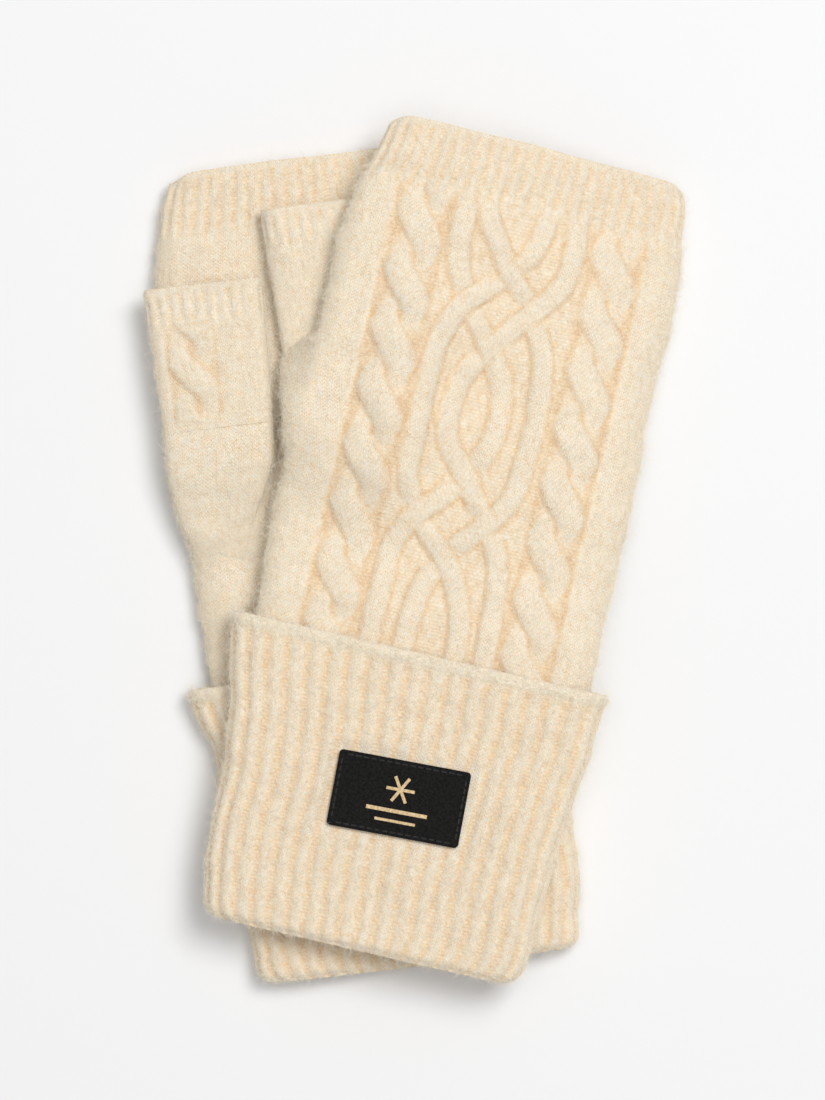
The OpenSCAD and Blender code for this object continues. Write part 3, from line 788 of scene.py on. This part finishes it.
def thumb_piece(g, name, y0, y1, rib, step, k, mat):
    y = row_count(y0, y1, step, k)
    n = int(round(2 * S2 / step / k)) * k
    tt = np.arange(n) / n
    tu = np.arange(n + 1) / n
    x, z, S = thumb_surface(g, y, tt, False)
    Y2 = y[:, None] + 0 * x
    P = thumb_world(g, x, Y2, z)
    nrm = normals(P, True)
    upper = sm((tt[None, :] - 0.03) / 0.05) * sm((0.47 - tt[None, :]) / 0.05) + 0 * x
    lower = sm((tt[None, :] - 0.52) / 0.03) * sm((0.98 - tt[None, :]) / 0.03) + 0 * x
    crease_shade = 0 * x
    hr2, kr2 = ribs(tt[None, :] * 22 + 0 * x, 0.6, 1.2, 0.2)
    mr = sm((Y2 - 29.5) / 4.0)
    h = 0 * x
    kn = 1 + 0 * x
    if True:
        if g == 0:
            hr, cr, _x = rope(x, Y2, -5.2, 3.9, 4.4, 17.0, 15.5, T=1.6, Z=0.9)
            win = sm((9.2 - np.abs(x + 5.2)) / 2.6) * sm((Y2 - 0.5) / 4) * sm((33 - Y2) / 5) * upper
            h = h * (1 - win) + win * np.maximum(hr - 0.45, -0.45)
            # painted shade along the creases of the thumb's rope cable
            crease_shade = cr * win * sm((7.8 - np.abs(x + 5.2)) / 1.0)
    h = h * (1 - mr) + hr2 * mr
    kn = kn * (1 - mr) + kr2 * mr
    lip = sm((Y2 - 39.6) / 1.6)
    h = h * (1 - lip) - 0.05 * lip - 0.5 * sm((Y2 - 41.4) / 1.3)
    kn = kn * (1 - lip) + lip
    h = h - 0.12 * np.exp(-((Y2 - 1.2) / 1.2) ** 2) * upper      # linked join at the root
    h = blur(h, 2, True)
    soft = SOFT[g](x + 40, Y2 + 500) * 0.3 * upper
    disp = h + soft + FINE[g](x, Y2 + 90) * 0.08
    disp = np.minimum(disp, 0) * lower + disp * (1 - lower)
    O = P + nrm * disp[..., None]
    x2, z2, _ = thumb_surface(g, y, tt, True)
    I = thumb_world(g, x2, y[:, None] + 0 * x2, z2)
    sx = np.broadcast_to(tu[None, :] * 66 - 0.75, (len(y), len(tu))).copy()
    sy = np.broadcast_to((y / COURSE)[:, None], sx.shape).copy()
    ob = shell(name, O, I, True, k, (sx, sy), {"painted_shade": np.clip(hollow_shade(h, True, 8, 1.1) + 0.34 * crease_shade, 0, 1), "knit": kn})
    ob.data.materials.append(mat)
    body = f"{SIDE[g]}_thumb"
    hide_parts(name)
    add_hair(body, O, normals(O, True), 2.6, 1.3, 500 + g * 7 + len(name), sm((Y2 - 4) / 8))
    add_hair(BODY[g], O, normals(O, True), 2.6, 1.3, 540 + g * 7 + len(name), 1 - sm((Y2 - 4) / 8))
    return ob, body


for g in (0, 1):
    s = SIDE[g]
    ob, body = thumb_piece(g, f"{s}_thumb_sleeve", (0.0, -4.0)[g], 31.5, False, 0.40, 6, M_plain)
    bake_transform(ob)
    ob, body = thumb_piece(g, f"{s}_thumb_band", 31.5, 42.5, True, 0.36, 6, M_rib)
    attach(ob, body)

# ------------------------------------------------------------------ gussets


def gusset(g):
    s = SIDE[g]
    v1 = 164.9 if g == 0 else 167.2
    v = row_count(112.0, v1, 0.45, 4)
    nl, nt_, nr = 24, 96, 16                      # columns: left side, top, right side
    j = np.linspace(0, 1, nl + 1)[:-1]
    top_w = (4.5, 8.5)[g]
    left_w = top_w + (15.1 - top_w) * j
    e = np.linspace(0, 1, nt_ + 1)
    jr = np.linspace(0, 1, nr + 1)[1:]
    q = sm((v - 108) / 52)
    edge = 0.55 * EDGE[g](v, 0 * v) * sm((v - 96) / 20)
    out = (-0.3 + 1.0 * (1 - sm((v - 112) / 12))) if g == 0 else 3.4 + 0 * v
    a = (tab(LE, v) - swell(g, v) + edge) * (1 - q) + (PIV[g][0] - 16.2 + (0, 1.2)[g]) * q + out
    b = (-38.0, -40.0)[g] * (1 - sm((v - 112) / 52)) + (PIV[g][0] + 16.2) * sm((v - 112) / 52)
    sink = 0.5 * (1 - sm((v - 112) / 16))
    uu, ww = [], []
    for i in range(len(v)):
        u1, w1, _ = section(a[i], b[i], 11.4, 18.8, 5.8, e * 0.5, 3.7)
        u1, w1 = u1[0], w1[0]
        ru = b[i] + 1.6 * jr**2
        rw = 15.1 - (15.1 - 10.7) * jr
        lu = a[i] + 1.2 * (1 - j) ** 2
        uu.append(np.concatenate([lu, u1, ru]))
        w_all = np.concatenate([left_w, w1, rw])
        ww.append(np.where(w_all > 10.9, 10.9 - sink[i] + (w_all - 10.9) * q[i], w_all - sink[i]))
    u, w = np.array(uu), np.array(ww)
    V2 = v[:, None] + 0 * u
    ah, bh = tab(LE, v) - swell(g, v) + edge, tab(RE, v)
    Lq = quarter(9.0, 5.5)[0]
    tb = ((b - ah - 9.0) + Lq) / (2 * Lq + (bh - ah - 18.0)) / 2
    hu, hw = np.zeros_like(u), np.zeros_like(w)
    sc = np.linspace(0, 1, u.shape[1])
    for i in range(len(v)):
        hi_u, hi_w, _ = section(ah[i] + 0.5, bh[i], 0.0, HAND_T - 0.7, 9.0, sc * tb[i])
        hu[i], hw[i] = hi_u[0], hi_w[0]
    q2 = sm((V2 - 112) / 44)
    u, w = hu * (1 - q2) + u * q2, hw * (1 - q2) + w * q2
    if g == 1:
        w = HAND_T - w
    O0 = world(g, u, V2, w)
    if g == 1:
        O0[..., 2] -= 5.3 * sm((-50.5 - u) / 9.5) * sm((V2 - 144) / 20) * np.clip((w + 4.1) / 6.6, 0, 1)
    n = normals(O0, False) * (1 if g == 0 else -1)
    h = 0.10 * FINE[g](u, V2) - 0.10 * np.exp(-((V2 - v1 + 0.2) / 1.2) ** 2)
    if g == 0:
        h = h + SOFT[g](u, V2) * 0.75 * sm((V2 - 98) / 22) * (1 - sm((V2 - 132) / 26)) * sm((w - 10) / 2.5)
    O = O0 + n * h[..., None]
    I = O0 - n * 1.3
    if g == 1:
        O, I = O[:, ::-1], I[:, ::-1]
        h = h[:, ::-1]
    L = np.concatenate([[0], np.cumsum(np.linalg.norm(np.diff(O0[-1], axis=0), axis=1))])
    sx = np.broadcast_to((L / WALE)[None, :], O.shape[:2]).copy()
    sy = np.broadcast_to((v / COURSE)[:, None], O.shape[:2]).copy()
    # the gusset's hollows are painted as shade
    ob = shell(f"{s}_thumb_gusset", O, I, False, 4, (sx, sy), {"painted_shade": hollow_shade(h, False, 4, 1.0), "knit": 1 + 0 * h})
    ob.data.materials.append(M_plain)
    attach(ob, BODY[g]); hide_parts(f"{s}_thumb_gusset")
    add_hair(BODY[g], O, normals(O, False), 2.4, 1.35, 700 + g)


for g in (0, 1):
    gusset(g)


# ------------------------------------------------------------------ label (CAD pieces keep their shape)
def cloth_label():
    mat = bpy.data.materials.new("label_satin")
    nt = nodes_of(mat); g = G(nt)
    tc = g.n("ShaderNodeTexCoord").outputs["Object"]
    wv = g.n("ShaderNodeTexWave"); nt.links.new(tc, wv.inputs["Vector"])
    wv.inputs["Scale"].default_value = 900; wv.inputs["Distortion"].default_value = 0.4
    nz = g.n("ShaderNodeTexNoise"); nt.links.new(tc, nz.inputs["Vector"]); nz.inputs["Scale"].default_value = 1500
    h = g.m("ADD", g.m("MULTIPLY", wv.outputs["Fac"], 0.00006), g.m("MULTIPLY", nz.outputs[0], 0.00005))
    bp = g.n("ShaderNodeBump"); nt.links.new(h, bp.inputs["Height"]); bp.inputs["Distance"].default_value = 1.0
    bp.inputs["Strength"].default_value = 0.6
    col = g.mixc(g.ramp(nz.outputs[0], 0.3, 0.7), (0.0052, 0.0050, 0.0047), (0.0135, 0.0130, 0.0122))
    bs = g.n("ShaderNodeBsdfPrincipled")
    nt.links.new(col, bs.inputs["Base Color"]); nt.links.new(bp.outputs[0], bs.inputs["Normal"])
    bs.inputs["Roughness"].default_value = 0.75
    bs.inputs["Specular IOR Level"].default_value = 0.10
    out = g.n("ShaderNodeOutputMaterial"); nt.links.new(bs.outputs[0], out.inputs[0])
    return mat


def thread(name, lo, hi, rough):
    mat = bpy.data.materials.new(name)
    nt = nodes_of(mat); g = G(nt)
    tc = g.n("ShaderNodeTexCoord").outputs["Object"]
    nz = g.n("ShaderNodeTexNoise"); nt.links.new(tc, nz.inputs["Vector"]); nz.inputs["Scale"].default_value = 1800
    nz.inputs["Detail"].default_value = 3
    bp = g.n("ShaderNodeBump"); nt.links.new(g.m("MULTIPLY", nz.outputs[0], 0.00012), bp.inputs["Height"])
    bp.inputs["Distance"].default_value = 1.0
    bs = g.n("ShaderNodeBsdfPrincipled")
    nt.links.new(g.mixc(g.ramp(nz.outputs[0], 0.3, 0.7), lo, hi), bs.inputs["Base Color"])
    nt.links.new(bp.outputs[0], bs.inputs["Normal"])
    bs.inputs["Roughness"].default_value = rough
    out = g.n("ShaderNodeOutputMaterial"); nt.links.new(bs.outputs[0], out.inputs[0])
    return mat


for node, mat in (("right_label", cloth_label()), ("right_label_stitching", thread("label_sewing", (0.004, 0.004, 0.004), (0.018, 0.018, 0.019), 0.8)),
                  ("right_label_emblem", thread("label_gold", (0.50, 0.34, 0.16), (0.76, 0.56, 0.31), 0.5))):
    ob = bpy.data.objects[node]
    if not ob.material_slots:
        ob.data.materials.append(mat)
    for sl in ob.material_slots:
        sl.link = "OBJECT"
        sl.material = mat


# ------------------------------------------------------------------ halo of fibres
def fibre_material():
    mat = bpy.data.materials.new("wool_halo")
    nt = nodes_of(mat)
    bs = nt.nodes.new("ShaderNodeBsdfPrincipled")
    bs.inputs["Base Color"].default_value = (0.95, 0.89, 0.76, 1)
    bs.inputs["Roughness"].default_value = 0.9
    bs.inputs["Specular IOR Level"].default_value = 0.1
    out = nt.nodes.new("ShaderNodeOutputMaterial")
    nt.links.new(bs.outputs[0], out.inputs[0])
    return mat


M_halo = fibre_material()
K = 5
for body, parts in HAIR.items():
    pts = []
    for p, n, ln, r in parts:
        m = len(p)
        rnd = r.normal(0, 1, (m, 3))
        tang = rnd - n * np.sum(rnd * n, 1, keepdims=True)
        tang /= np.maximum(np.linalg.norm(tang, axis=1, keepdims=True), 1e-6)
        rise = r.uniform(0.10, 0.85, (m, 1)) ** 1.4
        bend = r.normal(0, 1, (m, 3)) * 0.45
        q = np.linspace(0, 1, K)[None, :, None]
        c = (p[:, None] - n[:, None] * 0.12 + ln[:, None, None] * (tang[:, None] * q + n[:, None] * rise[:, None] * np.sin(q * 2.2) * 0.8 + bend[:, None] * q * q * 0.6))
        pts.append(c)
    C = np.concatenate(pts) / 1000.0
    hc = bpy.data.hair_curves.new(f"{body}_halo")
    hc.add_curves([K] * len(C))
    hc.attributes["position"].data.foreach_set("vector", C.astype(np.float32).ravel())
    rad = hc.attributes.get("radius") or hc.attributes.new("radius", "FLOAT", "POINT")
    rr = np.broadcast_to(np.linspace(1.0, 0.35, K)[None] * 0.000036, (len(C), K)).astype(np.float32)
    rad.data.foreach_set("value", rr.ravel())
    hc.materials.append(M_halo)
    ho = bpy.data.objects.new(f"{body}_halo", hc)
    bpy.context.collection.objects.link(ho)
    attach(ho, body)
    print("halo", body, len(C))

# ------------------------------------------------------------------ stage, lights, camera
me = bpy.data.meshes.new("floor")
me.from_pydata([(-3, -3, 0), (3, -3, 0), (3, 3, 0), (-3, 3, 0)], [], [(0, 1, 2, 3)])
floor = bpy.data.objects.new("floor", me)
bpy.context.collection.objects.link(floor)
fm = bpy.data.materials.new("pale_floor")
nt = nodes_of(fm)
bs = nt.nodes.new("ShaderNodeBsdfPrincipled")
bs.inputs["Base Color"].default_value = (0.872, 0.872, 0.875, 1)
bs.inputs["Roughness"].default_value = 0.9
bs.inputs["Specular IOR Level"].default_value = 0.1
o = nt.nodes.new("ShaderNodeOutputMaterial")
nt.links.new(bs.outputs[0], o.inputs[0])
me.materials.append(fm)

wd = bpy.data.worlds.new("studio")
wd.use_nodes = True
wd.node_tree.nodes["Background"].inputs[0].default_value = (1.0, 1.0, 1.0, 1)
wd.node_tree.nodes["Background"].inputs[1].default_value = 0.34
bpy.context.scene.world = wd


def area(name, loc, size, power, look=(0, 0, 0)):
    l = bpy.data.lights.new(name, "AREA")
    l.shape = "SQUARE"; l.size = size; l.energy = power
    ob = bpy.data.objects.new(name, l)
    ob.location = loc
    d = np.array(look) - np.array(loc)
    from mathutils import Vector
    ob.rotation_euler = Vector(d).to_track_quat("-Z", "Y").to_euler()
    bpy.context.collection.objects.link(ob)
    return ob


area("key", (0.70, 0.70, 2.25), 0.92, 32.0)
area("fill", (0.08, 0.03, 2.4), 1.45, 16.4)

cam = bpy.data.cameras.new("camera")
co = bpy.data.objects.new("camera", cam)
bpy.context.collection.objects.link(co)
co.location = (-0.0007, 0.0002, 1.6)
co.rotation_euler = (0, 0, 0)
cam.sensor_fit = "VERTICAL"
cam.sensor_height = 36
cam.lens = 36 * (1.6 - 0.015) / 0.3235
cam.clip_start, cam.clip_end = 0.01, 20
bpy.context.scene.camera = co
bpy.context.scene.view_settings.view_transform = "Standard"
